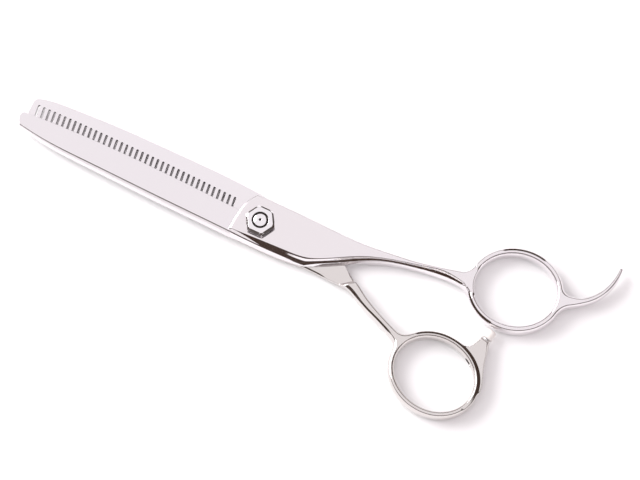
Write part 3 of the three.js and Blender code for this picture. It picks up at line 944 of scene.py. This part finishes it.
def make_shears(look):
    """Every piece that replaces a CAD node, and the finishes of the nodes that stay."""
    plain_steel, comb_steel = "plain_blade_steel", "comb_blade_steel"
    # The near-black finish paints shade into the comb's gaps, the stud's bore, the dial's recess and sides
    # and the screw's socket.
    blade, handle, painted_shade, dial_finish = (look[k] for k in ("blade", "handle", "painted_shade", "dial"))
    voxel = 0.14
    small = 0.06
    shank = skin("straight_handle", plain_handle, (-8.5, -8.5, -0.6), (94.5, 32, 6.2), voxel)
    finished(shank, "straight_half", "finger_half", plain_steel, handle)
    finished(plain_blade(), "straight_half", "finger_half", plain_steel, blade, handle)
    shank = skin("comb_handle", comb_handle, (-10.5, -31, -0.6), (74, 9, 5.8), voxel)
    finished(shank, "comb_half", "thumb_half", comb_steel, look["comb_handle"], painted_shade)
    paint(shank, shaded_stud_bore)
    finished(comb_blade(), "comb_half", "thumb_half", comb_steel, blade, painted_shade)
    nut = skin("tension_dial", dial, (-4.6, -4.6, 5.7), (4.6, 4.6, 8), small)
    finished(nut, "hex_dial", "dial", "dial_steel", dial_finish, painted_shade)
    paint(nut, shaded_on_dial)
    screw = skin("dial_lock_screw", screw_head, (-2, -2, 4.7), (2, 2, 8.4), small)
    finished(screw, "lock_screw", "thumb_half", "dial_steel", dial_finish, painted_shade)
    paint(screw, shaded_socket)
    pin = skin("pivot_bolt_fine", bolt, (-4.8, -4.8, -0.3), (4.8, 4.8, 7.3), small * 1.5)
    finished(pin, "pivot_bolt", "thumb_half", "hardware_steel", look["hardware"])
    stop = turned("ring_bumper", bumper_profile())
    stop.rotation_euler = (-math.pi / 2, 0, 0)
    bpy.context.view_layer.update()
    stop.data.transform(stop.matrix_world)
    stop.rotation_euler = (0, 0, BUMPER_TURN)
    stop.location = (FOOT[0] * MM, FOOT[1] * MM, MIDDLE * MM)
    bpy.context.view_layer.update()
    finished(stop, "bumper", "thumb_half", "bumper_polymer", look["bumper"])
    for node, finish in STAYING.items():
        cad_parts[node].data.materials.clear()
        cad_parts[node].data.materials.append(look[finish])


# ---------------------------------------------------------------------------------------------
# Stage
# ---------------------------------------------------------------------------------------------

# The camera: its direction, the point it looks at, and the width that its frame takes in there.
VIEW_AZIMUTH = math.radians(25.3)
VIEW_ELEVATION = math.radians(75)
VIEW_TARGET = Vector((16.86, 1.72, 8.0)) * MM
VIEW_WIDTH = 170.5 * MM
LENS = 200
SENSOR = 36

# The studio: its two tones, its bands from the floor's level up to overhead, its strength, and the dark
# board's direction, with the cosines between which the board's edge fades in.
WHITE = (0.98, 0.945, 0.965, 1)
DARK = (0.06, 0.038, 0.03, 1)
BANDS = [(0.0, WHITE), (0.07, WHITE), (0.12, DARK), (0.42, DARK), (0.54, WHITE)]
STUDIO_STRENGTH = 1.08
BOARD_ANGLE = math.radians(35)
BOARD_EDGE = (0.64, 0.74)
FLOOR_HALF = 3.0


def make_camera():
    data = bpy.data.cameras.new("camera")
    data.lens = LENS
    data.sensor_width = SENSOR
    camera = bpy.data.objects.new("camera", data)
    level = math.cos(VIEW_ELEVATION)
    right, ahead = math.sin(VIEW_AZIMUTH) * level, math.cos(VIEW_AZIMUTH) * level
    back = Vector((right, -ahead, math.sin(VIEW_ELEVATION)))
    camera.location = VIEW_TARGET + back * (VIEW_WIDTH * LENS / SENSOR)
    camera.rotation_mode = "QUATERNION"
    camera.rotation_quaternion = (-back).to_track_quat("-Z", "Y")
    bpy.context.scene.collection.objects.link(camera)
    bpy.context.scene.camera = camera


def make_floor():
    mesh = bpy.data.meshes.new("floor")
    corners = [(x * FLOOR_HALF, y * FLOOR_HALF, 0) for x, y in ((-1, -1), (1, -1), (1, 1), (-1, 1))]
    mesh.from_pydata(corners, [], [(0, 1, 2, 3)])
    floor = bpy.data.objects.new("floor", mesh)
    made, _, _, shader = material("floor_paper", (0.9, 0.895, 0.9), 0, 0.9)
    shader.inputs["Specular IOR Level"].default_value = 0.1
    mesh.materials.append(made)
    bpy.context.scene.collection.objects.link(floor)
    floor.location.z = CAD_BOX[0].z


def make_lamp(name, size, energy, colour, place, reflected):
    """A round soft lamp aimed at the pivot, which may be seen in reflections."""
    data = bpy.data.lights.new(name, "AREA")
    data.shape = "DISK"
    data.size = size
    data.energy = energy
    data.color = colour
    lamp = bpy.data.objects.new(name, data)
    lamp.location = place
    lamp.rotation_mode = "QUATERNION"
    lamp.rotation_quaternion = (-lamp.location).to_track_quat("-Z", "Y")
    lamp.visible_glossy = reflected
    bpy.context.scene.collection.objects.link(lamp)


def make_studio():
    """A studio that is bright overhead and at the horizon, with a dark band between and a dark board to
    the right."""
    world = bpy.data.worlds.new("studio")
    world.use_nodes = True
    nodes, links = world.node_tree.nodes, world.node_tree.links
    place = nodes.new("ShaderNodeTexCoord")
    split = nodes.new("ShaderNodeSeparateXYZ")
    band = nodes.new("ShaderNodeValToRGB")
    for _ in BANDS[2:]:
        band.color_ramp.elements.new(0.5)
    for element, (position, colour) in zip(band.color_ramp.elements, BANDS):
        element.position = position
        element.color = colour
    board = nodes.new("ShaderNodeVectorMath")
    board.operation = "DOT_PRODUCT"
    board.inputs[1].default_value = (math.cos(BOARD_ANGLE), math.sin(BOARD_ANGLE), 0)
    edge = nodes.new("ShaderNodeMapRange")
    edge.inputs["From Min"].default_value = BOARD_EDGE[0]
    edge.inputs["From Max"].default_value = BOARD_EDGE[1]
    join = nodes.new("ShaderNodeMix")
    join.data_type = "RGBA"
    join.inputs["B"].default_value = DARK
    links.new(place.outputs["Generated"], split.inputs[0])
    links.new(split.outputs["Z"], band.inputs["Fac"])
    links.new(place.outputs["Generated"], board.inputs[0])
    links.new(board.outputs["Value"], edge.inputs["Value"])
    links.new(edge.outputs["Result"], join.inputs["Factor"])
    links.new(band.outputs["Color"], join.inputs["A"])
    links.new(join.outputs["Result"], nodes["Background"].inputs["Color"])
    nodes["Background"].inputs["Strength"].default_value = STUDIO_STRENGTH
    bpy.context.scene.world = world
    bpy.context.scene.view_settings.view_transform = "Standard"


make_camera()
make_floor()
make_studio()
make_lamp("key", size=0.76, energy=9, colour=(1, 1, 1), place=(-0.7, 0.03, 0.46), reflected=True)
make_lamp("fill", size=1.0, energy=3, colour=(1, 0.86, 0.89), place=(0.9, 0.3, 0.6), reflected=False)
make_shears(make_materials())
